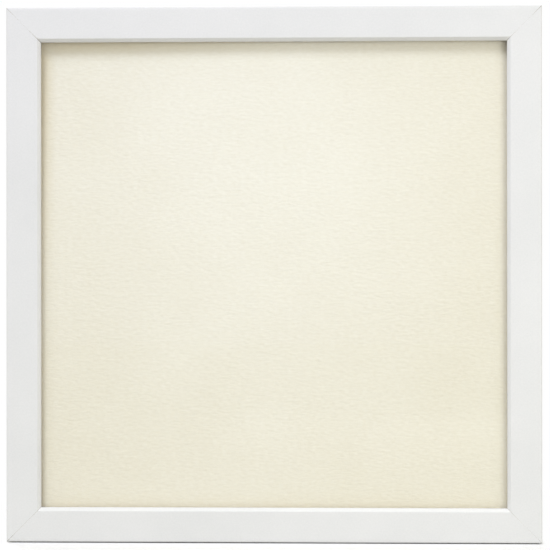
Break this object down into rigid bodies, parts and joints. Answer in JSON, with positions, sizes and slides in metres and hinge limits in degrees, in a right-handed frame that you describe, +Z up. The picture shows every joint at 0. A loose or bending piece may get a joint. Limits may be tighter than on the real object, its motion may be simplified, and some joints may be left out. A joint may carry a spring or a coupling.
{
  "type": "box picture frame",
  "caption": "Square white box picture frame with mitred rails, glazing, cream mount board and a backing held by turn buttons.",
  "frame": {"origin": "bottom of the frame, under the middle of its overall width and depth", "axes": "+X to the right seen from the front, +Y towards the wall behind, +Z up; the picture side faces -Y"},
  "size_m": [0.25, 0.0386, 0.25],
  "materials": {
    "white_foil_rail": "matt white foil on fibreboard",
    "clear_glass": "clear float glass",
    "cream_board": "crinkle-embossed cream mount board",
    "liner_card": "plain grey card",
    "hardboard": "smooth brown hardboard",
    "plated_steel": "bright zinc-plated sheet",
    "screw_steel": "zinc-plated",
    "nail_steel": "bare bright steel",
    "clear_rubber": "clear soft polyurethane"
  },
  "bodies": {
    "frame": {"backing_board": "hardboard", "button_screw_bottom_1": "screw_steel", "button_screw_bottom_2": "screw_steel", "button_screw_left_1": "screw_steel", "button_screw_left_2": "screw_steel", "button_screw_right_1": "screw_steel", "button_screw_right_2": "screw_steel", "button_screw_top_1": "screw_steel", "button_screw_top_2": "screw_steel", "glazing": "clear_glass", "hanger_nail_left": "nail_steel", "hanger_nail_right": "nail_steel", "liner_bottom": "liner_card", "liner_left": "liner_card", "liner_right": "liner_card", "liner_top": "liner_card", "mount_board": "cream_board", "rail_bottom": "white_foil_rail", "rail_left": "white_foil_rail", "rail_right": "white_foil_rail", "rail_top": "white_foil_rail", "sawtooth_hanger": "plated_steel", "v_nail_1": "nail_steel", "v_nail_2": "nail_steel", "v_nail_3": "nail_steel", "v_nail_4": "nail_steel", "wall_bumper_left": "clear_rubber", "wall_bumper_right": "clear_rubber"},
    "button_bottom_1": {"turn_button_bottom_1": "plated_steel"},
    "button_bottom_2": {"turn_button_bottom_2": "plated_steel"},
    "button_left_1": {"turn_button_left_1": "plated_steel"},
    "button_left_2": {"turn_button_left_2": "plated_steel"},
    "button_top_1": {"turn_button_top_1": "plated_steel"},
    "button_top_2": {"turn_button_top_2": "plated_steel"},
    "button_right_1": {"turn_button_right_1": "plated_steel"},
    "button_right_2": {"turn_button_right_2": "plated_steel"}
  },
  "joints": [
    {"name": "button_bottom_1_turn", "type": "hinge", "parent": "frame", "child": "button_bottom_1", "pos_m": [-0.065, 0.0165, 0.0045], "axis": [0, 1, 0], "range_deg": [-90, 90]},
    {"name": "button_bottom_2_turn", "type": "hinge", "parent": "frame", "child": "button_bottom_2", "pos_m": [0.065, 0.0165, 0.0045], "axis": [0, 1, 0], "range_deg": [-90, 90]},
    {"name": "button_left_1_turn", "type": "hinge", "parent": "frame", "child": "button_left_1", "pos_m": [-0.1205, 0.0165, 0.19], "axis": [0, 1, 0], "range_deg": [-90, 90]},
    {"name": "button_left_2_turn", "type": "hinge", "parent": "frame", "child": "button_left_2", "pos_m": [-0.1205, 0.0165, 0.06], "axis": [0, 1, 0], "range_deg": [-90, 90]},
    {"name": "button_top_1_turn", "type": "hinge", "parent": "frame", "child": "button_top_1", "pos_m": [0.065, 0.0165, 0.2455], "axis": [0, 1, 0], "range_deg": [-90, 90]},
    {"name": "button_top_2_turn", "type": "hinge", "parent": "frame", "child": "button_top_2", "pos_m": [-0.065, 0.0165, 0.2455], "axis": [0, 1, 0], "range_deg": [-90, 90]},
    {"name": "button_right_1_turn", "type": "hinge", "parent": "frame", "child": "button_right_1", "pos_m": [0.1205, 0.0165, 0.06], "axis": [0, 1, 0], "range_deg": [-90, 90]},
    {"name": "button_right_2_turn", "type": "hinge", "parent": "frame", "child": "button_right_2", "pos_m": [0.1205, 0.0165, 0.19], "axis": [0, 1, 0], "range_deg": [-90, 90]}
  ]
}
